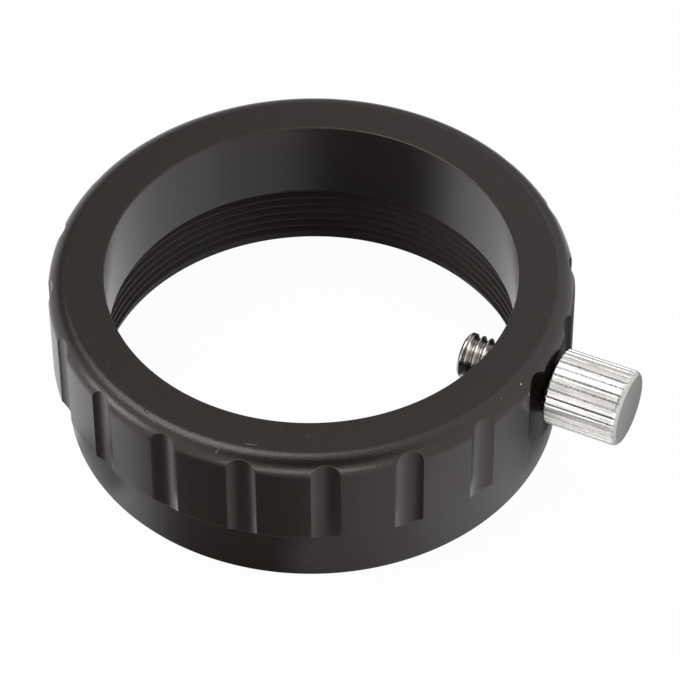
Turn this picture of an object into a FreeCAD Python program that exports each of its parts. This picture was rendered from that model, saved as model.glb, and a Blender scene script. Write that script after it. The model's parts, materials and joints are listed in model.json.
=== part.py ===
import FreeCAD, Part
import os

import Sketcher

# Telescope focuser adapter: a turned ring that screws onto a focuser and takes a 2 inch eyepiece barrel,
# which a knurled thumbscrew clamps from the side.
# Frame: origin at the middle of the base on the ring's axis, +Z up towards the eyepiece,
# +X out along the thumbscrew. All lengths are millimetres, all angles degrees.

doc = FreeCAD.newDocument("focuser_adapter")

# Driving dimensions
SIZES = {
    # eyepiece socket and focuser thread
    "socket_diameter": 50.8,
    "socket_depth": 10.9,
    "socket_edge_break": 0.15,
    "thread_diameter": 54.0,
    "thread_mouth_chamfer": 0.5,
    # outside of the ring
    "ring_height": 21.45,
    "skirt_diameter": 61.5,
    "skirt_edge_break": 0.2,
    "grip_diameter": 64.7,
    "grip_bottom": 8.7,
    "step_drop": 1.6,
    "shoulder_round": 2.3,
    # finger flutes round the grip
    "flute_count": 20,
    "flute_radius": 3.0,
    "flute_depth": 0.65,
    "flute_phase": 10.6,
    # thumbscrew
    "screw_height": 15.6,
    "screw_diameter": 6.0,
    "screw_clearance": 0.05,
    "shank_length": 12.2,
    "tip_chamfer": 0.3,
    "knob_gap": 0.55,
    "knob_diameter": 9.45,
    "knob_length": 9.4,
    "knob_end_round": 0.7,
    "knob_inner_chamfer": 0.3,
    # straight knurl on the knob, and how far the screw is turned from having a groove at the top
    "knurl_count": 30,
    "knurl_depth": 0.25,
    "knurl_angle": 75,
    "screw_turn": 2.7,
}

sheet = doc.addObject("Spreadsheet::Sheet", "sizes")
for row, (alias, value) in enumerate(SIZES.items(), start=1):
    sheet.set(f"A{row}", alias)
    sheet.set(f"B{row}", str(value))
    sheet.setAlias(f"B{row}", alias)
doc.recompute()

# Places worked out from the driving dimensions, as expressions on the sheet
SOCKET_RADIUS = "sizes.socket_diameter / 2"
SOCKET_FLOOR = "sizes.ring_height - sizes.socket_depth"
THREAD_RADIUS = "sizes.thread_diameter / 2"
SKIRT_RADIUS = "sizes.skirt_diameter / 2"
SKIRT_TOP = "sizes.grip_bottom - sizes.step_drop"
GRIP_RADIUS = "sizes.grip_diameter / 2"
GRIP_TOP = "sizes.ring_height - sizes.shoulder_round"
SHOULDER_CENTRE = (f"{GRIP_RADIUS} - sizes.shoulder_round", GRIP_TOP)
FLUTE_AXIS = f"({GRIP_RADIUS} - sizes.flute_depth + sizes.flute_radius)"
SCREW_RADIUS = "sizes.screw_diameter / 2"
SCREW_HOLE_RADIUS = f"{SCREW_RADIUS} + sizes.screw_clearance"
KNOB_RADIUS = "sizes.knob_diameter / 2"
KNURL_ROOT = f"({KNOB_RADIUS} - sizes.knurl_depth)"


def new_body(label):
    body = doc.addObject("PartDesign::Body", label)
    body.Label = label
    return body


def new_sketch(body, name, plane):
    """An empty sketch on one of the body's own origin planes."""
    sketch = body.newObject("Sketcher::SketchObject", name)
    origin_plane = next(item for item in body.Origin.OriginFeatures if item.Role == plane)
    sketch.AttachmentSupport = [(origin_plane, "")]
    sketch.MapMode = "FlatFace"
    return sketch


def point_at(sketch, place):
    x, y = (sketch.evalExpression(expression) for expression in place)
    return FreeCAD.Vector(float(x), float(y), 0)


def bind(sketch, kind, geometry, expression):
    """A dimension of the sketch that follows an expression on the sheet."""
    value = float(sketch.evalExpression(expression))
    index = sketch.addConstraint(Sketcher.Constraint(kind, *geometry, value))
    sketch.setExpression(f"Constraints[{index}]", expression)


def fix_point(sketch, edge, vertex, place):
    for kind, expression in zip(("DistanceX", "DistanceY"), place):
        bind(sketch, kind, (-1, 1, edge, vertex), expression)


def draw_outline(sketch, corners, rounds=()):
    """A closed outline, anticlockwise through corners given as pairs of expressions.

    rounds maps the number of a corner to the radius and centre of the arc that leads to the next corner.
    """
    rounds = dict(rounds)
    points = [point_at(sketch, corner) for corner in corners]
    for number, start in enumerate(points):
        end = points[(number + 1) % len(points)]
        if number in rounds:
            radius, centre = rounds[number]
            middle = point_at(sketch, centre)
            bulge = ((start + end) / 2 - middle).normalize() * (start - middle).Length
            sketch.addGeometry(Part.Arc(start, middle + bulge, end))
            bind(sketch, "Radius", (number,), radius)
        else:
            sketch.addGeometry(Part.LineSegment(start, end))
    for number, corner in enumerate(corners):
        before = (number - 1) % len(corners)
        sketch.addConstraint(Sketcher.Constraint("Coincident", before, 2, number, 1))
        fix_point(sketch, number, 1, corner)


def draw_circle(sketch, centre, radius):
    middle = point_at(sketch, centre)
    size = float(sketch.evalExpression(radius))
    circle = sketch.addGeometry(Part.Circle(middle, FreeCAD.Vector(0, 0, 1), size))
    bind(sketch, "Radius", (circle,), radius)
    fix_point(sketch, circle, 3, centre)


def revolve(body, name, sketch, axis):
    turned = body.newObject("PartDesign::Revolution", name)
    turned.Profile = sketch
    turned.ReferenceAxis = (sketch, [axis])
    turned.Angle = 360
    return turned


def cut_forward(body, name, sketch):
    """Cut everything on the side of the sketch that its normal points to."""
    pocket = body.newObject("PartDesign::Pocket", name)
    pocket.Profile = sketch
    pocket.Type = "ThroughAll"
    pocket.Reversed = True
    return pocket


def repeat_round(body, name, feature, sketch, count):
    """Repeat a cut round the normal of its sketch."""
    pattern = body.newObject("PartDesign::PolarPattern", name)
    pattern.Originals = [feature]
    pattern.Axis = (sketch, ["N_Axis"])
    pattern.Angle = 360
    pattern.setExpression("Occurrences", count)
    body.Tip = pattern
    return pattern


# Adapter ring: one turned piece of aluminium with its section drawn in the XZ plane
ring = new_body("adapter_ring")


def on_shoulder(angle):
    """The place on the round shoulder at an angle up from its lower end."""
    x, z = SHOULDER_CENTRE
    return (f"{x} + sizes.shoulder_round * cos({angle} deg)", f"{z} + sizes.shoulder_round * sin({angle} deg)")


section = new_sketch(ring, "ring_section", "XZ_Plane")
draw_outline(
    section,
    corners=[
        # base, from the thread's mouth to the skirt
        (f"{THREAD_RADIUS} + sizes.thread_mouth_chamfer", "0"),
        (f"{SKIRT_RADIUS} - sizes.skirt_edge_break", "0"),
        (SKIRT_RADIUS, "sizes.skirt_edge_break"),
        (SKIRT_RADIUS, SKIRT_TOP),
        # grip, with its tapered underside
        (GRIP_RADIUS, "sizes.grip_bottom"),
        # round shoulder, as three arcs end to end so that no one face has to follow all of each flute's end
        (GRIP_RADIUS, GRIP_TOP),
        on_shoulder(30),
        on_shoulder(60),
        (f"{GRIP_RADIUS} - sizes.shoulder_round", "sizes.ring_height"),
        # top face and eyepiece socket
        (f"{SOCKET_RADIUS} + sizes.socket_edge_break", "sizes.ring_height"),
        (SOCKET_RADIUS, "sizes.ring_height - sizes.socket_edge_break"),
        (SOCKET_RADIUS, SOCKET_FLOOR),
        # focuser thread at its nominal diameter
        (THREAD_RADIUS, SOCKET_FLOOR),
        (THREAD_RADIUS, "sizes.thread_mouth_chamfer"),
    ],
    rounds={number: ("sizes.shoulder_round", SHOULDER_CENTRE) for number in (5, 6, 7)},
)
revolve(ring, "turned_ring", section, "V_Axis")

# Finger flutes: each is milled along the grip with a round cutter and runs out on the shoulder
flute_section = new_sketch(ring, "flute_section", "XY_Plane")
flute_section.setExpression("AttachmentOffset.Base.z", SKIRT_TOP)
draw_circle(
    flute_section,
    centre=(
        f"{FLUTE_AXIS} * cos(sizes.flute_phase * 1 deg)",
        f"{FLUTE_AXIS} * sin(sizes.flute_phase * 1 deg)",
    ),
    radius="sizes.flute_radius",
)
flute = cut_forward(ring, "flute", flute_section)
repeat_round(ring, "flutes", flute, flute_section, "sizes.flute_count")

# Hole for the thumbscrew, from the outside of the grip through to the socket
screw_hole_section = new_sketch(ring, "screw_hole_section", "YZ_Plane")
draw_circle(screw_hole_section, centre=("0", "sizes.screw_height"), radius=SCREW_HOLE_RADIUS)
ring.Tip = cut_forward(ring, "screw_hole", screw_hole_section)

# Thumbscrew: one turned piece on the X axis, with the knob's inner face at x = 0
screw = new_body("thumbscrew")
screw.Placement.Rotation = FreeCAD.Rotation(FreeCAD.Vector(1, 0, 0), SIZES["screw_turn"])
screw.setExpression(".Placement.Rotation.Angle", "sizes.screw_turn * 1 deg")
screw.setExpression(".Placement.Base.x", f"{GRIP_RADIUS} + sizes.knob_gap")
screw.setExpression(".Placement.Base.z", "sizes.screw_height")

screw_section = new_sketch(screw, "screw_section", "XZ_Plane")
draw_outline(
    screw_section,
    corners=[
        # axis, from the tip to the knob's outer face
        ("-sizes.shank_length", "0"),
        ("sizes.knob_length", "0"),
        # knob, with its outer edge rounded and its inner edge chamfered
        ("sizes.knob_length", f"{KNOB_RADIUS} - sizes.knob_end_round"),
        ("sizes.knob_length - sizes.knob_end_round", KNOB_RADIUS),
        ("sizes.knob_inner_chamfer", KNOB_RADIUS),
        ("0", f"{KNOB_RADIUS} - sizes.knob_inner_chamfer"),
        # shank, with its chamfered tip
        ("0", SCREW_RADIUS),
        ("sizes.tip_chamfer - sizes.shank_length", SCREW_RADIUS),
        ("-sizes.shank_length", f"{SCREW_RADIUS} - sizes.tip_chamfer"),
    ],
    rounds={
        2: (
            "sizes.knob_end_round",
            ("sizes.knob_length - sizes.knob_end_round", f"{KNOB_RADIUS} - sizes.knob_end_round"),
        )
    },
)
revolve(screw, "turned_screw", screw_section, "H_Axis")

# Straight knurl: V grooves along the knob that run out on its rounded and chamfered edges
knurl_section = new_sketch(screw, "knurl_section", "YZ_Plane")
KNURL_SPREAD = "2 * sizes.knurl_depth * tan(sizes.knurl_angle / 2 * 1 deg)"
draw_outline(
    knurl_section,
    corners=[
        ("0", KNURL_ROOT),
        (KNURL_SPREAD, f"{KNURL_ROOT} + 2 * sizes.knurl_depth"),
        (f"-{KNURL_SPREAD}", f"{KNURL_ROOT} + 2 * sizes.knurl_depth"),
    ],
)
knurl_groove = cut_forward(screw, "knurl_groove", knurl_section)
repeat_round(screw, "knurl", knurl_groove, knurl_section, "sizes.knurl_count")

doc.recompute()

# Nothing is written unless every feature was made and every piece is one valid solid
failed = [item.Name for item in doc.Objects if {"Invalid", "Error"} & set(item.State)]
if failed:
    raise RuntimeError(f"not made: {failed}")

os.makedirs("parts", exist_ok=True)
for piece in (ring, screw):
    shape = piece.Shape
    if shape.isNull() or not shape.isValid() or len(shape.Solids) != 1:
        raise RuntimeError(f"{piece.Label} is not one valid solid")
    shape.exportStep(f"parts/{piece.Label}.step")
    print(piece.Label, "volume", round(shape.Volume, 1), "mm3, box", shape.BoundBox)
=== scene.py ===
import json
import math
import random

import bpy
from mathutils import Matrix, Vector


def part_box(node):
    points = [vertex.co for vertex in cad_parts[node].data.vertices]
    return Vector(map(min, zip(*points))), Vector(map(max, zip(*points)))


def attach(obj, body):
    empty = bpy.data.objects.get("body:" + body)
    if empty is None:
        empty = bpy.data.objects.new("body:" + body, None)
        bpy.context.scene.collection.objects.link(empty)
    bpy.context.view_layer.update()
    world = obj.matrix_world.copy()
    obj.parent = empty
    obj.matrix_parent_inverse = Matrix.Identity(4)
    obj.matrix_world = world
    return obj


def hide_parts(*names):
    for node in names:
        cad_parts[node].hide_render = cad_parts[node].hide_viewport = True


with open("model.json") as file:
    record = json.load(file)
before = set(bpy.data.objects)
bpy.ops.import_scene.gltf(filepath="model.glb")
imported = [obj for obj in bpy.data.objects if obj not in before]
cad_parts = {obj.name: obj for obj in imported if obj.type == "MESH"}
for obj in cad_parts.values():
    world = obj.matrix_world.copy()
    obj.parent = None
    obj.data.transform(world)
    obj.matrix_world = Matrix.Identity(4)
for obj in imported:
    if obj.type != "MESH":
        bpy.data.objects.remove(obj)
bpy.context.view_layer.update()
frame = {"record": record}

# Adapter ring: one turned piece of aluminium, bead blasted and black anodised. Its section is spun about
# the optical axis, the finger flutes are where a round cutter milled the grip, and a hole for the
# thumbscrew goes through its side.
MM = 0.001
mounts = {mount["name"]: mount for mount in frame["record"]["mounts"]}
socket_size = mounts["eyepiece_socket"]["dims"]
thread_size = mounts["focuser_thread"]["dims"]
screw_low, screw_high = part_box("thumbscrew")
RING_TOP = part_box("adapter_ring")[1].z
SOCKET_RADIUS = socket_size["r_mm"] * MM
SOCKET_FLOOR = RING_TOP - socket_size["length_mm"] * MM
SOCKET_EDGE = 0.15 * MM
SOCKET_EDGE_STEPS = 3
THREAD_RADIUS = thread_size["r_mm"] * MM
MOUTH_CHAMFER = 0.5 * MM
SKIRT_RADIUS = 30.75 * MM
SKIRT_EDGE = 0.2 * MM
SKIRT_TOP = 7.1 * MM
GRIP_RADIUS = 32.35 * MM
GRIP_BOTTOM = 8.7 * MM
SHOULDER_ROUND = 2.3 * MM
SHOULDER_STEPS = 12
SCREW_HEIGHT = (screw_low.z + screw_high.z) / 2
SCREW_HOLE_RADIUS = 3.05 * MM
EDGE_BREAK = 0.07 * MM
EDGE_MATERIAL = 1
BORE_MATERIAL = 2
THREAD_MATERIAL = 3
SMOOTH_ANGLE = math.radians(30)
SAME_PLACE = 1e-7


def add_primitive(name, add, **sizes):
    """A new primitive with a name of its own, and nothing else selected."""
    bpy.ops.object.select_all(action="DESELECT")
    add(**sizes)
    piece = bpy.context.object
    piece.name = name
    piece.data.name = name
    return piece


def select_points(piece, wanted):
    """In edit mode, select the points whose place passes the test."""
    bpy.ops.mesh.select_all(action="DESELECT")
    bpy.ops.object.mode_set(mode="OBJECT")
    for point in piece.data.vertices:
        point.select = wanted(point.co)
    bpy.ops.object.mode_set(mode="EDIT")


def draw_section(name, corners, closed):
    """The outline of a section in the XZ plane, extruded from corner to corner and left in edit mode."""
    places = [Vector((x, 0, z)) for x, z in corners]
    piece = add_primitive(name, bpy.ops.mesh.primitive_plane_add, size=MM)
    bpy.ops.object.mode_set(mode="EDIT")
    bpy.ops.mesh.merge(type="CENTER")
    bpy.ops.transform.translate(value=places[0])
    for here, there in zip(places, places[1:]):
        bpy.ops.mesh.extrude_region_move(TRANSFORM_OT_translate={"value": there - here})
    if closed:
        ends = (places[0], places[-1])
        select_points(piece, lambda place: min((place - end).length for end in ends) < SAME_PLACE)
        bpy.ops.mesh.edge_face_add()
    return piece


def round_corner(piece, corner, size, steps):
    """In edit mode, make one corner of the section round."""
    select_points(piece, lambda place: (place - corner).length < SAME_PLACE)
    bpy.ops.mesh.bevel(offset=size, segments=steps, affect="VERTICES")


def spin_section(columns, centre, axis):
    """Turn the section in edit mode into a closed body, and go back to object mode."""
    bpy.ops.mesh.select_all(action="SELECT")
    bpy.ops.mesh.spin(steps=columns, angle=math.tau, center=centre, axis=axis)
    bpy.ops.mesh.select_all(action="SELECT")
    bpy.ops.mesh.remove_doubles(threshold=SAME_PLACE)
    bpy.ops.mesh.normals_make_consistent(inside=False)
    bpy.ops.object.mode_set(mode="OBJECT")


def apply_modifier(piece, kind, **settings):
    """Put a modifier with its settings on a piece and make it part of the mesh."""
    bpy.ops.object.select_all(action="DESELECT")
    piece.select_set(True)
    bpy.context.view_layer.objects.active = piece
    modifier = piece.modifiers.new(kind.lower(), kind)
    for name, value in settings.items():
        setattr(modifier, name, value)
    bpy.ops.object.modifier_apply(modifier=modifier.name)


def soften_edges(piece, width, segments):
    """Break the sharp edges of a piece, in the material of its edges."""
    apply_modifier(
        piece,
        "BEVEL",
        width=width,
        segments=segments,
        limit_method="ANGLE",
        angle_limit=SMOOTH_ANGLE,
        material=EDGE_MATERIAL,
    )


def smooth_shading(piece):
    """Shade a piece smoothly between its sharp edges, with its flats kept flat."""
    bpy.ops.object.select_all(action="DESELECT")
    piece.select_set(True)
    bpy.context.view_layer.objects.active = piece
    bpy.ops.object.shade_smooth_by_angle(angle=SMOOTH_ANGLE)
    apply_modifier(piece, "WEIGHTED_NORMAL", keep_sharp=True)


FLUTE_COUNT = 20
FLUTE_RADIUS = 3.0 * MM
FLUTE_DEPTH = 0.65 * MM
FLUTE_PHASE = math.radians(10.6)
FLUTE_PITCH = math.tau / FLUTE_COUNT
FLUTE_AXIS = GRIP_RADIUS - FLUTE_DEPTH + FLUTE_RADIUS
FLUTE_HALF_TURN = math.acos(
    (GRIP_RADIUS**2 + FLUTE_AXIS**2 - FLUTE_RADIUS**2) / (2 * GRIP_RADIUS * FLUTE_AXIS)
)
# Columns of points from one flute to the next, how many of them a flute takes, and how far they crowd
# to its edges
COLUMNS = 30
FLUTE_COLUMNS = 16
FLUTE_CROWDING = 0.11


def beside_flute(share):
    """The turn from a flute's middle of a column that is this share, from 0 to 1, of the way to the middle
    of the land."""
    flute_share = FLUTE_COLUMNS / COLUMNS
    if share < flute_share:
        part = share / flute_share
        return FLUTE_HALF_TURN * (part + FLUTE_CROWDING * math.sin(math.pi * part))
    part = (share - flute_share) / (1 - flute_share)
    return FLUTE_HALF_TURN + (FLUTE_PITCH / 2 - FLUTE_HALF_TURN) * part


def flute_wall(turn):
    """The radius of the grip's wall at a turn from the nearest flute's middle."""
    across = FLUTE_AXIS * math.sin(turn)
    if abs(turn) >= FLUTE_HALF_TURN:
        return GRIP_RADIUS
    return FLUTE_AXIS * math.cos(turn) - math.sqrt(FLUTE_RADIUS**2 - across**2)


def run_out(place, centre, size, wall):
    """Where a point of a round edge lies, as a radius and a height, once a groove runs out on the round: the
    round then starts where the groove's wall meets it."""
    start = math.acos(1 - (centre[0] + size - wall) / size)
    share = math.atan2(place[1] - centre[1], place[0] - centre[0]) / (math.pi / 2)
    angle = start + share * (math.pi / 2 - start)
    return centre[0] + size * math.cos(angle), centre[1] + size * math.sin(angle)


def mill_flutes(place):
    """Where a point of the turned ring lies once the flutes are milled: in a flute, the grip's lower edge
    slides down its tapered underside, and the shoulder starts where the flute runs out on it."""
    radius, height = math.hypot(place.x, place.y), place.z
    column = math.atan2(place.y, place.x) / FLUTE_PITCH
    offset = column - round(column)
    turn = math.copysign(beside_flute(2 * abs(offset)), offset)
    wall = flute_wall(turn)
    shoulder = (GRIP_RADIUS - SHOULDER_ROUND, RING_TOP - SHOULDER_ROUND)
    if radius > shoulder[0] - SAME_PLACE and height > shoulder[1] - SAME_PLACE:
        radius, height = run_out((radius, height), shoulder, SHOULDER_ROUND, wall)
    elif abs(height - GRIP_BOTTOM) < SAME_PLACE:
        radius = wall
        taper_height = GRIP_BOTTOM - SKIRT_TOP
        taper_width = GRIP_RADIUS - SKIRT_RADIUS
        height = SKIRT_TOP + (wall - SKIRT_RADIUS) * taper_height / taper_width
    angle = FLUTE_PHASE + round(column) * FLUTE_PITCH + turn
    return Vector((radius * math.cos(angle), radius * math.sin(angle), height))


ring = draw_section(
    "turned_ring",
    [
        (THREAD_RADIUS + MOUTH_CHAMFER, 0),
        (SKIRT_RADIUS - SKIRT_EDGE, 0),
        (SKIRT_RADIUS, SKIRT_EDGE),
        (SKIRT_RADIUS, SKIRT_TOP),
        (GRIP_RADIUS, GRIP_BOTTOM),
        (GRIP_RADIUS, RING_TOP),
        (SOCKET_RADIUS, RING_TOP),
        (SOCKET_RADIUS, SOCKET_FLOOR),
        (THREAD_RADIUS, SOCKET_FLOOR),
        (THREAD_RADIUS, MOUTH_CHAMFER),
    ],
    closed=True,
)
round_corner(ring, Vector((GRIP_RADIUS, 0, RING_TOP)), SHOULDER_ROUND, SHOULDER_STEPS)
round_corner(ring, Vector((SOCKET_RADIUS, 0, RING_TOP)), SOCKET_EDGE, SOCKET_EDGE_STEPS)
spin_section(FLUTE_COUNT * COLUMNS, centre=(0, 0, 0), axis=(0, 0, 1))
for point in ring.data.vertices:
    point.co = mill_flutes(point.co)


def add_node(tree, kind, inputs=(), **settings):
    """A node with its settings, whose inputs are values or the outputs of other nodes."""
    node = tree.nodes.new(kind)
    for name, value in settings.items():
        setattr(node, name, value)
    for name, source in dict(inputs).items():
        if isinstance(source, bpy.types.NodeSocket):
            tree.links.new(source, node.inputs[name])
        else:
            node.inputs[name].default_value = source
    return node


def new_material(name, **constants):
    """A material with one shader, whose plain numbers and colours are set on the shader itself."""
    material = bpy.data.materials.new(name)
    material.use_nodes = True
    shader = material.node_tree.nodes["Principled BSDF"]
    for name, value in constants.items():
        shader.inputs[name.replace("_", " ")].default_value = value
    return material, material.node_tree, shader


TONE_SCALE = 60.0


def grain_group():
    """Fine grain of a blasted or plated surface: its height, and a slow change of tone."""
    tree = bpy.data.node_groups.new("fine_grain", "ShaderNodeTree")
    tree.interface.new_socket("Scale", in_out="INPUT", socket_type="NodeSocketFloat")
    tree.interface.new_socket("Height", in_out="OUTPUT", socket_type="NodeSocketFloat")
    tree.interface.new_socket("Tone", in_out="OUTPUT", socket_type="NodeSocketFloat")
    entry = add_node(tree, "NodeGroupInput")
    place = add_node(tree, "ShaderNodeTexCoord").outputs["Object"]
    grain = add_node(
        tree, "ShaderNodeTexNoise", {"Vector": place, "Scale": entry.outputs["Scale"], "Detail": 1.0}
    )
    tone = add_node(tree, "ShaderNodeTexNoise", {"Vector": place, "Scale": TONE_SCALE, "Detail": 2.0})
    add_node(tree, "NodeGroupOutput", {"Height": grain.outputs[0], "Tone": tone.outputs[0]})
    return tree


fine_grain = grain_group()


def calculate(tree, operation, *values):
    """The result of a sum on values or other nodes' outputs."""
    return add_node(tree, "ShaderNodeMath", enumerate(values), operation=operation).outputs[0]


def calculate_vector(tree, operation, *values):
    """The result of a sum on vectors, which is a number for a length, a distance or a dot product."""
    node = add_node(tree, "ShaderNodeVectorMath", enumerate(values), operation=operation)
    return node.outputs["Value" if operation in ("LENGTH", "DISTANCE", "DOT_PRODUCT") else "Vector"]


# How far from its middle a nick starts and is at full depth, as shares of its width
NICK_RIM = 0.5
NICK_FLOOR = 0.2


def nick_group():
    """A small nick that is longer one way than across: 1 inside it, and 0 outside."""
    tree = bpy.data.node_groups.new("nick", "ShaderNodeTree")
    for name in ("Here", "Place", "Along"):
        tree.interface.new_socket(name, in_out="INPUT", socket_type="NodeSocketVector")
    for name in ("Length", "Width"):
        tree.interface.new_socket(name, in_out="INPUT", socket_type="NodeSocketFloat")
    tree.interface.new_socket("Inside", in_out="OUTPUT", socket_type="NodeSocketFloat")
    entry = add_node(tree, "NodeGroupInput").outputs
    away = calculate_vector(tree, "SUBTRACT", entry["Here"], entry["Place"])
    reach = calculate_vector(tree, "DOT_PRODUCT", away, entry["Along"])
    narrowness = calculate(tree, "DIVIDE", entry["Width"], entry["Length"])
    squeeze = calculate(tree, "SUBTRACT", 1.0, narrowness)
    squeezed = calculate(tree, "MULTIPLY", reach, squeeze)
    pull = calculate_vector(tree, "MULTIPLY", entry["Along"], squeezed)
    distance = calculate_vector(tree, "LENGTH", calculate_vector(tree, "SUBTRACT", away, pull))
    share = calculate(tree, "DIVIDE", distance, entry["Width"])
    limits = {"Value": share, "From Min": NICK_RIM, "From Max": NICK_FLOOR}
    inside = add_node(tree, "ShaderNodeMapRange", limits)
    add_node(tree, "NodeGroupOutput", {"Inside": inside.outputs["Result"]})
    return tree


nick = nick_group()
# Nicks from use on the top and the shoulder: turn about the axis in degrees, then distance from the axis,
# length and width in millimetres, slant in degrees from the way round the ring, and how bare the metal is
NICKS = [
    (-78.2, 29.7, 1.6, 0.34, 6, 0.22),
    (-85.0, 31.5, 0.6, 0.34, 55, 0.12),
    (-87.9, 31.2, 0.5, 0.3, 20, 0.12),
    (-104.2, 30.5, 0.75, 0.3, -8, 0.12),
    (-116.4, 31.8, 0.5, 0.25, 0, 0.1),
    (-65.5, 27.7, 0.35, 0.28, 30, 0.1),
    (-72.3, 26.8, 0.22, 0.2, 0, 0.1),
    (-32.5, 27.0, 0.22, 0.2, 0, 0.1),
    (-11.8, 31.4, 0.4, 0.32, 40, 0.9),
    (-13.8, 30.6, 0.22, 0.2, 0, 0.4),
    (-18.1, 31.1, 0.25, 0.2, 0, 0.4),
]
NICK_DEPTH = 4.0
NICK_WOBBLE = 0.2 * MM
NICK_WOBBLE_SCALE = 4000.0
SLOPE_STEP = 0.05


def on_top(turn, distance):
    """The point of the top face or the shoulder at a turn about the axis and a distance from it."""
    height = RING_TOP
    past = distance - (GRIP_RADIUS - SHOULDER_ROUND)
    if past > 0:
        height -= SHOULDER_ROUND - math.sqrt(SHOULDER_ROUND**2 - past**2)
    return Vector((distance * math.cos(turn), distance * math.sin(turn), height))


def add_nicks(tree, nicks):
    """How far a point lies inside any of the nicks, whose edges are a little uneven, and how bare it is
    there."""
    place = add_node(tree, "ShaderNodeTexCoord").outputs["Object"]
    noise = add_node(tree, "ShaderNodeTexNoise", {"Vector": place, "Scale": NICK_WOBBLE_SCALE})
    shift = calculate_vector(tree, "MULTIPLY", noise.outputs["Color"], (NICK_WOBBLE,) * 3)
    here = calculate_vector(tree, "ADD", place, shift)
    middle = Vector((NICK_WOBBLE / 2,) * 3)
    inside = bare = 0.0
    for turn, distance, length, width, slant, share in nicks:
        turn, slant = math.radians(turn), math.radians(slant)
        point = on_top(turn, distance * MM)
        inward = on_top(turn, (distance - SLOPE_STEP) * MM) - point
        around = Vector((-math.sin(turn), math.cos(turn), 0))
        along = around * math.cos(slant) + inward.normalized() * math.sin(slant)
        sizes = {
            "Here": here,
            "Place": point + middle,
            "Along": along,
            "Length": length * MM,
            "Width": width * MM,
        }
        spot = add_node(tree, "ShaderNodeGroup", sizes, node_tree=nick).outputs["Inside"]
        inside = calculate(tree, "MAXIMUM", spot, inside)
        bare = calculate(tree, "MAXIMUM", calculate(tree, "MULTIPLY", spot, share), bare)
    return inside, bare


BLACK = (0.007, 0.0042, 0.0034)
WORN_BLACK = (0.02, 0.016, 0.014)
LIFTED_DULL_BLACK = (0.019, 0.0145, 0.0125)
BARE_METAL = (0.5, 0.49, 0.47, 1)
WARM_SHINE = (1, 0.95, 0.92, 1)
BLAST_SCALE = 4200.0
GRAIN_DEPTH = 0.05 * MM
# A mix node has sockets for numbers, vectors and colours: these are the two colours and their mixture
FIRST_COLOUR = 6
SECOND_COLOUR = 7
MIXED_COLOUR = 2


def anodised(name, colour, roughness, blast, specular, turned=0.0, nicks=()):
    """Black anodised aluminium with the grain of bead blasting or the lines of turning, and bare metal in
    its nicks."""
    material, tree, shader = new_material(
        name,
        Roughness=roughness,
        Anisotropic=turned,
        Specular_IOR_Level=specular,
        Specular_Tint=WARM_SHINE,
    )
    grain = add_node(tree, "ShaderNodeGroup", {"Scale": BLAST_SCALE}, node_tree=fine_grain)
    tones = {"Value": grain.outputs["Tone"], "To Min": 0.8, "To Max": 1.2}
    tone = add_node(tree, "ShaderNodeMapRange", tones)
    tint = calculate_vector(tree, "MULTIPLY", colour, tone.outputs["Result"])
    height = grain.outputs["Height"]
    if nicks:
        inside, bare = add_nicks(tree, nicks)
        mix = add_node(tree, "ShaderNodeMix", data_type="RGBA")
        tree.links.new(bare, mix.inputs["Factor"])
        tree.links.new(tint, mix.inputs[FIRST_COLOUR])
        mix.inputs[SECOND_COLOUR].default_value = BARE_METAL
        tint = mix.outputs[MIXED_COLOUR]
        tree.links.new(bare, shader.inputs["Metallic"])
        height = calculate(tree, "SUBTRACT", height, calculate(tree, "MULTIPLY", inside, NICK_DEPTH))
    relief = {"Height": height, "Strength": blast, "Distance": GRAIN_DEPTH}
    bump = add_node(tree, "ShaderNodeBump", relief)
    tree.links.new(tint, shader.inputs["Base Color"])
    tree.links.new(bump.outputs["Normal"], shader.inputs["Normal"])
    return material


ring.data.materials.append(
    anodised("black_anodised", BLACK, roughness=0.23, blast=0.6, specular=0.62, nicks=NICKS)
)
ring.data.materials.append(
    anodised("black_anodised_edge", WORN_BLACK, roughness=0.2, blast=0.1, specular=0.62)
)
ring.data.materials.append(
    anodised("black_anodised_bore", BLACK, roughness=0.22, blast=0.06, specular=0.7, turned=0.6)
)
# The thread's black is rougher and lighter than the rest: a duller anodising, and painted light that lifts
# its self-shaded roots.
thread_black = anodised(
    "black_anodised_thread", LIFTED_DULL_BLACK, roughness=0.42, blast=0.1, specular=0.26
)
ring.data.materials.append(thread_black)
soften_edges(ring, EDGE_BREAK, segments=3)
for face in ring.data.polygons:
    distance, height = math.hypot(face.center.x, face.center.y), face.center.z
    if height < SOCKET_FLOOR and distance < THREAD_RADIUS + MOUTH_CHAMFER:
        face.material_index = THREAD_MATERIAL
    elif height < RING_TOP - SOCKET_EDGE and distance < SOCKET_RADIUS:
        face.material_index = BORE_MATERIAL


# A ridge's half widths at its foot and its crest, as shares of its pitch, the steps of one turn of it, and
# those over which its ends taper
RIDGE_FOOT = 0.46
RIDGE_LAND = 0.07
STEPS_PER_TURN = 160
TAPER_STEPS = STEPS_PER_TURN / 6


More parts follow.
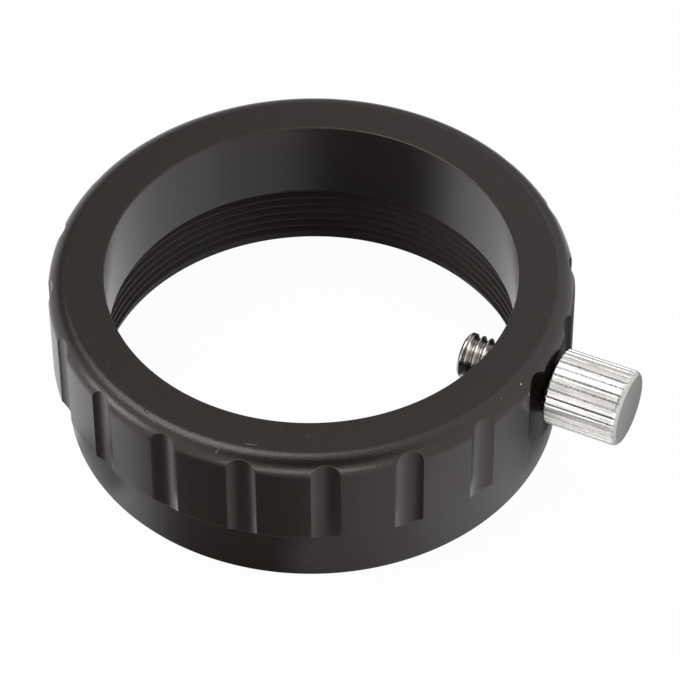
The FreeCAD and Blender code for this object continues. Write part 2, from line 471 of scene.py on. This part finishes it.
def wind_thread(name, root, crest, pitch, start, turns):
    """A thread's ridge wound about the Z axis as one closed bar, which tapers into its wall at its ends."""
    foot = RIDGE_FOOT * pitch
    land = RIDGE_LAND * pitch
    section = [(root, start - foot), (crest, start - land), (crest, start + land), (root, start + foot)]
    ridge = draw_section(name, section, closed=True)
    bpy.ops.object.mode_set(mode="OBJECT")
    steps = round(STEPS_PER_TURN * turns)
    apply_modifier(
        ridge,
        "SCREW",
        angle=math.tau * turns,
        screw_offset=pitch * turns,
        steps=steps,
        render_steps=steps,
    )
    for number, point in enumerate(ridge.data.vertices):
        step = number // len(section)
        full = min(1.0, (min(step, steps - step) + 1) / TAPER_STEPS)
        radius = math.hypot(point.co.x, point.co.y)
        share = (root + (radius - root) * full) / radius
        point.co.x *= share
        point.co.y *= share
    bpy.ops.object.mode_set(mode="EDIT")
    bpy.ops.mesh.select_all(action="SELECT")
    bpy.ops.mesh.fill_holes(sides=len(section))
    bpy.ops.mesh.normals_make_consistent(inside=False)
    bpy.ops.object.mode_set(mode="OBJECT")
    return ridge


FOCUSER_PITCH = 1.25 * MM
FOCUSER_THREAD_DEPTH = 0.5 * MM
FOCUSER_THREAD_START = math.radians(-107)
THREAD_SINK = 0.05 * MM
focuser_thread = wind_thread(
    "focuser_thread",
    root=THREAD_RADIUS + THREAD_SINK,
    crest=THREAD_RADIUS - FOCUSER_THREAD_DEPTH,
    pitch=FOCUSER_PITCH,
    start=1.1 * MM,
    turns=6.9,
)
focuser_thread.data.transform(Matrix.Rotation(FOCUSER_THREAD_START, 4, "Z"))
focuser_thread.data.materials.append(thread_black)

screw_drill = add_primitive(
    "screw_drill",
    bpy.ops.mesh.primitive_cylinder_add,
    vertices=64,
    radius=SCREW_HOLE_RADIUS,
    depth=GRIP_RADIUS,
    location=(GRIP_RADIUS, 0, SCREW_HEIGHT),
    rotation=(0, math.pi / 2, 0),
)
apply_modifier(ring, "BOOLEAN", object=screw_drill, operation="DIFFERENCE", solver="EXACT")
bpy.data.objects.remove(screw_drill)
smooth_shading(ring)
smooth_shading(focuser_thread)
for piece in (ring, focuser_thread):
    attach(piece, "ring")
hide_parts("adapter_ring")

# Thumbscrew: one turned piece of bright plated metal. Its knob has a straight knurl, rolled as V grooves
# that run out on the round outer end and the chamfered inner end, and its shank is threaded all the way to
# the flat tip. It is screwed into the hole in the ring's side.
KNOB_RADIUS = 4.725 * MM
KNOB_INNER_FACE = 32.9 * MM
KNOB_END_ROUND = 0.7 * MM
KNOB_END_STEPS = 8
KNOB_INNER_CHAMFER = 0.3 * MM
CORE_RADIUS = 2.4 * MM
SHANK_RADIUS = 2.9 * MM
TIP_LENGTH = 0.5 * MM
SCREW_PITCH = 1.0 * MM
TIP_CHAMFER = 0.3 * MM
KNURL_COUNT = 30
KNURL_DEPTH = 0.25 * MM
KNURL_HALF_ANGLE = math.radians(37.5)
KNURL_PHASE = math.radians(92.7)
KNURL_PITCH = math.tau / KNURL_COUNT
KNURL_ROOT = KNOB_RADIUS - KNURL_DEPTH
KNURL_COLUMNS = 10
GROOVE_COLUMNS = 6
KNURL_EDGE_BREAK = 0.04 * MM
KNOB_END = screw_high.x
TIP = screw_low.x


def knurl_wall(turn, wear):
    """The radius of the knob's wall at a turn from the nearest groove's middle, in a groove that is filled
    by its wear."""
    turn = abs(turn)
    spread = math.cos(turn) - math.sin(turn) / math.tan(KNURL_HALF_ANGLE)
    return min(KNOB_RADIUS, max(KNURL_ROOT / spread, KNURL_ROOT + wear * KNURL_DEPTH))


def groove_half_turn():
    """The turn from a groove's middle to its edge, by the sine rule in the triangle of axis, root and
    edge."""
    edge_angle = math.asin(KNURL_ROOT * math.sin(KNURL_HALF_ANGLE) / KNOB_RADIUS)
    return KNURL_HALF_ANGLE - edge_angle


GROOVE_HALF_TURN = groove_half_turn()
# A rolled knurl is uneven: how far the root of each groove is filled, as a share of its depth
wear = random.Random(3)
GROOVE_WEAR = [wear.uniform(0.0, 0.6) for groove in range(KNURL_COUNT)]


def cut_knurl(place):
    """Where a point of the turned screw lies once the knob is knurled: the round outer end starts where a
    groove runs out on it, and the inner edge slides down its chamfer."""
    radius, along = math.hypot(place.y, place.z - SCREW_HEIGHT), place.x
    column = math.atan2(place.z - SCREW_HEIGHT, place.y) / KNURL_PITCH
    offset = column - round(column)
    share, groove_share = 2 * abs(offset), GROOVE_COLUMNS / KNURL_COLUMNS
    if share < groove_share:
        turn = GROOVE_HALF_TURN * share / groove_share
    else:
        land_turn = KNURL_PITCH / 2 - GROOVE_HALF_TURN
        turn = GROOVE_HALF_TURN + land_turn * (share - groove_share) / (1 - groove_share)
    turn = math.copysign(turn, offset)
    wall = knurl_wall(turn, GROOVE_WEAR[round(column) % KNURL_COUNT])
    end = (KNOB_RADIUS - KNOB_END_ROUND, KNOB_END - KNOB_END_ROUND)
    if radius > end[0] - SAME_PLACE and along > end[1] - SAME_PLACE:
        radius, along = run_out((radius, along), end, KNOB_END_ROUND, wall)
    elif radius > KNOB_RADIUS - SAME_PLACE:
        along = max(along - (radius - wall), KNOB_INNER_FACE)
        radius = wall
    angle = KNURL_PHASE + round(column) * KNURL_PITCH + turn
    return Vector((along, radius * math.cos(angle), SCREW_HEIGHT + radius * math.sin(angle)))


screw = draw_section(
    "thumb_screw",
    [
        (TIP, SCREW_HEIGHT),
        (TIP, SCREW_HEIGHT + SHANK_RADIUS - TIP_CHAMFER),
        (TIP + TIP_CHAMFER, SCREW_HEIGHT + SHANK_RADIUS),
        (TIP + TIP_LENGTH, SCREW_HEIGHT + SHANK_RADIUS),
        (TIP + TIP_LENGTH + SHANK_RADIUS - CORE_RADIUS, SCREW_HEIGHT + CORE_RADIUS),
        (KNOB_INNER_FACE, SCREW_HEIGHT + CORE_RADIUS),
        (KNOB_INNER_FACE, SCREW_HEIGHT + KNOB_RADIUS - KNOB_INNER_CHAMFER),
        (KNOB_INNER_FACE + KNOB_INNER_CHAMFER, SCREW_HEIGHT + KNOB_RADIUS),
        (KNOB_END, SCREW_HEIGHT + KNOB_RADIUS),
        (KNOB_END, SCREW_HEIGHT),
    ],
    closed=False,
)
round_corner(screw, Vector((KNOB_END, 0, SCREW_HEIGHT + KNOB_RADIUS)), KNOB_END_ROUND, KNOB_END_STEPS)
spin_section(KNURL_COUNT * KNURL_COLUMNS, centre=(0, 0, SCREW_HEIGHT), axis=(1, 0, 0))
for point in screw.data.vertices:
    point.co = cut_knurl(point.co)


def ramp(tree, value, start, end, first, last):
    """A number that goes softly from first to last as a value goes from start to end, and no further."""
    limits = {"Value": value, "From Min": start, "From Max": end, "To Min": first, "To Max": last}
    node = add_node(tree, "ShaderNodeMapRange", limits, interpolation_type="SMOOTHSTEP")
    return node.outputs["Result"]


STREAK_STRETCH = (0.04, 1, 1)
STREAK_SCALE = 4200.0


def streak_group():
    """Fine lines along the screw's axis, as a tool leaves them, from 0 to 1."""
    tree = bpy.data.node_groups.new("lengthwise_streaks", "ShaderNodeTree")
    tree.interface.new_socket("Streak", in_out="OUTPUT", socket_type="NodeSocketFloat")
    place = add_node(tree, "ShaderNodeTexCoord").outputs["Object"]
    drawn = add_node(tree, "ShaderNodeMapping", {"Vector": place, "Scale": STREAK_STRETCH})
    pattern = {"Vector": drawn.outputs["Vector"], "Scale": STREAK_SCALE, "Detail": 3.0}
    lines = add_node(tree, "ShaderNodeTexNoise", pattern)
    add_node(tree, "NodeGroupOutput", {"Streak": lines.outputs[0]})
    return tree


lengthwise_streaks = streak_group()


PLATING_SCALE = 4500.0
PLATING_STRENGTH = 0.25


def bright_steel(name, colour, roughness, shade):
    """Bright plated metal, streaked along its axis, whose relief and tone come from a function of the
    distance from the axis, the place along it, the grain and the streaks."""
    material, tree, shader = new_material(name, Metallic=1.0, Roughness=roughness)
    place = add_node(tree, "ShaderNodeTexCoord").outputs["Object"]
    across = calculate_vector(tree, "SUBTRACT", place, (0, 0, SCREW_HEIGHT))
    distance = calculate_vector(tree, "LENGTH", calculate_vector(tree, "MULTIPLY", across, (0, 1, 1)))
    along = add_node(tree, "ShaderNodeSeparateXYZ", {"Vector": place}).outputs["X"]
    plating = add_node(tree, "ShaderNodeGroup", {"Scale": PLATING_SCALE}, node_tree=fine_grain)
    streaks = add_node(tree, "ShaderNodeGroup", node_tree=lengthwise_streaks)
    height, tone = shade(tree, distance, along, plating.outputs["Height"], streaks.outputs["Streak"])
    tint = calculate_vector(tree, "MULTIPLY", colour, tone)
    relief = {"Height": height, "Strength": PLATING_STRENGTH, "Distance": GRAIN_DEPTH}
    bump = add_node(tree, "ShaderNodeBump", relief)
    tree.links.new(tint, shader.inputs["Base Color"])
    tree.links.new(bump.outputs["Normal"], shader.inputs["Normal"])
    return material


# The tones of the painted shade on the shank in the gap by the ring and in the roots of the knurl's grooves,
# and of the painted highlight on the knob's round end
GAP_SHADE_TONE = 0.1
GAP_SHADE_START = GRIP_RADIUS - 2 * MM
GAP_SHADE_FULL = GRIP_RADIUS - 1 * MM
ROOT_SHADE_TONE = 0.1
ROOT_SHADE_TOP = KNURL_ROOT + 0.85 * KNURL_DEPTH
ROOT_SHADE_RAGGEDNESS = 0.15 * MM
END_HIGHLIGHT_TONE = 0.75
END_HIGHLIGHT_START = KNOB_END - 0.8 * KNOB_END_ROUND
END_HIGHLIGHT_FULL = KNOB_END - 0.5 * KNOB_END_ROUND
STREAK_HEIGHT = 3.0
TURNING_PITCH = 0.16 * MM
TURNING_HEIGHT = 0.15


def shade_shank(tree, distance, along, grain, streak):
    """The shank is painted dark, as shade, where it goes into the ring, and painted darker, as shade, between
    its turns.
    """
    # Painted shade: darker where the shank goes into the gap by the ring.
    gap_shaded = ramp(tree, along, GAP_SHADE_START, GAP_SHADE_FULL, 1.0, GAP_SHADE_TONE)
    # Painted shade: darker towards the roots between the thread's turns.
    wear_and_shade = ramp(tree, distance, CORE_RADIUS, SHANK_RADIUS, 0.6, 1.0)
    return grain, calculate(tree, "MULTIPLY", gap_shaded, wear_and_shade)


def shade_knurl(tree, distance, along, grain, streak):
    """Painted shade lies with a ragged edge in the roots of the knurl's grooves but not on the knob's round
    end, which takes a lighter painted highlight, and the crests are streaked and speckled."""
    # Painted shade: dark in the roots of the knurl's grooves, with a ragged edge.
    ragged = calculate(tree, "MULTIPLY", calculate(tree, "SUBTRACT", grain, 0.5), ROOT_SHADE_RAGGEDNESS)
    depth = calculate(tree, "ADD", distance, ragged)
    root_shade_factor = ramp(tree, depth, KNURL_ROOT, ROOT_SHADE_TOP, ROOT_SHADE_TONE, 1.0)
    # Painted highlight: the knob's round end is lifted out of the root shade to a lighter tone.
    end_highlight = ramp(tree, along, END_HIGHLIGHT_START, END_HIGHLIGHT_FULL, 0.0, END_HIGHLIGHT_TONE)
    root_shade_factor = calculate(tree, "MAXIMUM", root_shade_factor, end_highlight)
    streaked = ramp(tree, streak, 0.35, 0.55, 0.7, 1.0)
    speckled = ramp(tree, grain, 0.36, 0.52, 0.86, 1.0)
    wear_and_shade = calculate(tree, "MULTIPLY", streaked, speckled)
    rough = calculate(tree, "ADD", grain, calculate(tree, "MULTIPLY", streak, STREAK_HEIGHT))
    return rough, calculate(tree, "MULTIPLY", root_shade_factor, wear_and_shade)


def shade_face(tree, distance, along, grain, streak):
    """The end face has the fine rings of turning."""
    rings = calculate(tree, "SINE", calculate(tree, "MULTIPLY", distance, math.tau / TURNING_PITCH))
    height = calculate(tree, "ADD", grain, calculate(tree, "MULTIPLY", rings, TURNING_HEIGHT))
    return height, ramp(tree, rings, -1, 1, 0.92, 1.0)


SHANK_STEEL = (0.58, 0.54, 0.51)
KNURL_STEEL = (0.96, 0.94, 0.92)
FACE_STEEL = (0.5, 0.485, 0.47)
SHANK_MATERIAL = 0
KNURL_MATERIAL = 1
FACE_MATERIAL = 2
FACE_RADIUS = KNOB_RADIUS - 0.95 * KNOB_END_ROUND
steel = bright_steel("bright_steel", SHANK_STEEL, roughness=0.22, shade=shade_shank)
screw.data.materials.append(steel)
screw.data.materials.append(
    bright_steel("bright_steel_knurl", KNURL_STEEL, roughness=0.28, shade=shade_knurl)
)
screw.data.materials.append(
    bright_steel("bright_steel_face", FACE_STEEL, roughness=0.45, shade=shade_face)
)
soften_edges(screw, KNURL_EDGE_BREAK, segments=2)
# Faces on the round end take the brighter knurl steel, as part of its painted highlight.
for face in screw.data.polygons:
    if math.hypot(face.center.y, face.center.z - SCREW_HEIGHT) >= FACE_RADIUS:
        face.material_index = KNURL_MATERIAL
    elif face.center.x > KNOB_INNER_FACE - SAME_PLACE:
        face.material_index = FACE_MATERIAL
    else:
        face.material_index = SHANK_MATERIAL
screw_thread = wind_thread(
    "screw_thread",
    root=CORE_RADIUS - THREAD_SINK,
    crest=SHANK_RADIUS,
    pitch=SCREW_PITCH,
    start=0.33 * MM,
    turns=11.5,
)
tip_place = Matrix.Translation((TIP, 0, SCREW_HEIGHT))
screw_thread.data.transform(tip_place @ Matrix.Rotation(math.pi / 2, 4, "Y"))
screw_thread.data.materials.append(steel)
for piece in (screw, screw_thread):
    smooth_shading(piece)
    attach(piece, "screw")
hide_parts("thumbscrew")

# Floor, light and camera: a plain white sweep under soft studio light, seen from the photograph's own
# angle. The studio is white all round but for a few dimmer patches, most of all where the camera stands,
# and the shine on the ring and the screw shows it through the floor, as on a sheet of clear glass.
CAMERA_AZIMUTH = math.radians(25.58)
CAMERA_ELEVATION = math.radians(46.18)
CAMERA_ROLL = math.radians(-0.38)
CAMERA_DISTANCE = 484.7 * MM
CAMERA_LENS = 202.9
CAMERA_SENSOR = 36.0
AIM_RIGHT = 3.405 * MM
AIM_UP = 6.23 * MM
FLOOR_SIZE = 1.6
FLOOR_DROP = 0.02 * MM
FLOOR_GLOW = 0.97
FLOOR_CLEARNESS = 0.85
WORLD_LIGHT = 0.9
WHITE = (1, 1, 1, 1)
PALE = (0.9, 0.9, 0.9, 1)


def seen_from_object(bearing, elevation):
    """A direction in degrees from the object: bearing 0 is towards the camera's side, and right of it is
    positive."""
    bearing, elevation = math.radians(bearing), math.radians(elevation)
    flat = math.cos(elevation)
    way = Vector((flat * math.sin(bearing), -flat * math.cos(bearing), math.sin(elevation)))
    return Matrix.Rotation(CAMERA_AZIMUTH, 3, "Z") @ way


floor = add_primitive(
    "floor", bpy.ops.mesh.primitive_plane_add, size=FLOOR_SIZE, location=(0, 0, -FLOOR_DROP)
)
floor_white, tree, shader = new_material("floor_white", Roughness=0.9, Specular_IOR_Level=0.1)
shader.inputs["Base Color"].default_value = PALE
path = add_node(tree, "ShaderNodeLightPath")
shown = calculate(tree, "MAXIMUM", path.outputs["Is Camera Ray"], path.outputs["Is Transmission Ray"])
shown = calculate(tree, "MULTIPLY", shown, FLOOR_GLOW)
glow = add_node(tree, "ShaderNodeEmission", {"Color": WHITE, "Strength": 1.0})
white = add_node(tree, "ShaderNodeMixShader", {0: shown, 1: shader.outputs[0], 2: glow.outputs[0]})
clear = add_node(tree, "ShaderNodeBsdfTransparent")
clearness = calculate(tree, "MULTIPLY", path.outputs["Is Glossy Ray"], FLOOR_CLEARNESS)
mixed = add_node(tree, "ShaderNodeMixShader", {0: clearness, 1: white.outputs[0], 2: clear.outputs[0]})
# Near the ring its shine shows painted round patches on the floor, seen by glossy rays only: a painted shadow
# on the far side of the knob, a painted pool of white light before the knob, and painted grey shade at the
# left and in front. Each has its distances from the axis to the right of the camera's view and away from it,
# the radii of its core and its rim, in metres, and its brightness.
FLOOR_SHADE_AND_LIGHT_PATCHES = [
    (0.040, 0.006, 0.016, 0.032, 0.17),
    (0.029, -0.030, 0.006, 0.016, 0.9),
    (-0.030, -0.014, 0.004, 0.008, 0.4),
    (0.002, -0.033, 0.002, 0.008, 0.5),
]
SKIRT_MARGIN = 2 * MM
place = add_node(tree, "ShaderNodeTexCoord").outputs["Object"]
reach = calculate_vector(tree, "LENGTH", place)
outside = ramp(tree, reach, SKIRT_RADIUS - SKIRT_MARGIN, SKIRT_RADIUS + SKIRT_MARGIN, 0.0, 1.0)
for right, away, core, rim, level in FLOOR_SHADE_AND_LIGHT_PATCHES:
    centre = Matrix.Rotation(CAMERA_AZIMUTH, 3, "Z") @ Vector((right, away, 0))
    patch = ramp(tree, calculate_vector(tree, "DISTANCE", place, centre), rim, core, 0.0, 1.0)
    shown = calculate(tree, "MULTIPLY", patch, outside)
    shown = calculate(tree, "MULTIPLY", shown, path.outputs["Is Glossy Ray"])
    # Each patch is painted shade or light, emitted for glossy rays only.
    painted_patch = add_node(tree, "ShaderNodeEmission", {"Color": WHITE, "Strength": level})
    mixed = add_node(tree, "ShaderNodeMixShader", {0: shown, 1: mixed.outputs[0], 2: painted_patch.outputs[0]})
tree.links.new(mixed.outputs[0], tree.nodes["Material Output"].inputs["Surface"])
floor.data.materials.append(floor_white)

world = bpy.context.scene.world or bpy.data.worlds.new("studio")
bpy.context.scene.world = world
world.use_nodes = True
tree = world.node_tree
direction = add_node(tree, "ShaderNodeTexCoord").outputs["Generated"]


def dim_patch(centre, core, rim, level):
    """A factor that is 1 outside a round patch of the surroundings and falls to a level inside it."""
    toward = calculate_vector(tree, "DOT_PRODUCT", direction, centre)
    return ramp(tree, toward, math.cos(math.radians(rim)), math.cos(math.radians(core)), 1.0, level)


# Dimmer patches of the studio: bearing and elevation from the object, the angles from a patch's middle to the
# edge of its core and to its rim, in degrees, and its level
STUDIO_PATCHES = [
    (0, 54, 12, 36, 0.15),
    (-36, -50, 16, 40, 0.06),
    (60, -46, 20, 45, 0.88),
    (165, 6, 16, 30, 0.45),
    (30, -47, 4, 22, 0.7),
    (-145, 42, 12, 36, 0.35),
    (-156, 46, 6, 32, 0.65),
]
surround = 1.0
for bearing, elevation, core, rim, level in STUDIO_PATCHES:
    patch = dim_patch(seen_from_object(bearing, elevation), core, rim, level)
    surround = calculate(tree, "MULTIPLY", patch, surround)
path = add_node(tree, "ShaderNodeLightPath")
tone = calculate(tree, "MAXIMUM", surround, path.outputs["Is Camera Ray"])
shown = calculate(tree, "MAXIMUM", path.outputs["Is Camera Ray"], path.outputs["Is Glossy Ray"])
shown = calculate(tree, "MAXIMUM", shown, path.outputs["Is Transmission Ray"])
brightness = add_node(
    tree, "ShaderNodeMapRange", {"Value": shown, "To Min": WORLD_LIGHT, "To Max": 1.0}
)
background = tree.nodes["Background"]
background.inputs["Color"].default_value = WHITE
strength = calculate(tree, "MULTIPLY", tone, brightness.outputs["Result"])
tree.links.new(strength, background.inputs["Strength"])


def soft_light(name, way, distance, size, radiance):
    """A softbox of one width and height that faces the object and is as bright as its radiance."""
    lamp = bpy.data.lights.new(name, "AREA")
    lamp.shape = "RECTANGLE"
    lamp.size, lamp.size_y = size
    lamp.energy = radiance * math.pi * size[0] * size[1]
    holder = bpy.data.objects.new(name, lamp)
    bpy.context.scene.collection.objects.link(holder)
    holder.location = way * distance
    holder.rotation_euler = (-way).to_track_quat("-Z", "Y").to_euler()
    holder.visible_camera = False


soft_light("overhead_softbox", seen_from_object(-130, 67), distance=0.9, size=(0.5, 0.5), radiance=2.7)
soft_light("left_softbox", seen_from_object(-80, 17), distance=0.9, size=(0.4, 0.35), radiance=3.6)
soft_light("front_strip", seen_from_object(-5, 3), distance=0.9, size=(0.9, 0.3), radiance=2.1)

camera = bpy.data.objects.new("camera", bpy.data.cameras.new("camera"))
bpy.context.scene.collection.objects.link(camera)
camera.data.lens = CAMERA_LENS
camera.data.sensor_width = CAMERA_SENSOR
turned = (
    Matrix.Rotation(CAMERA_AZIMUTH, 4, "Z")
    @ Matrix.Rotation(math.pi / 2 - CAMERA_ELEVATION, 4, "X")
    @ Matrix.Rotation(CAMERA_ROLL, 4, "Z")
)
camera.matrix_world = turned @ Matrix.Translation((AIM_RIGHT, AIM_UP, CAMERA_DISTANCE))
bpy.context.scene.camera = camera
bpy.context.scene.view_settings.view_transform = "Standard"
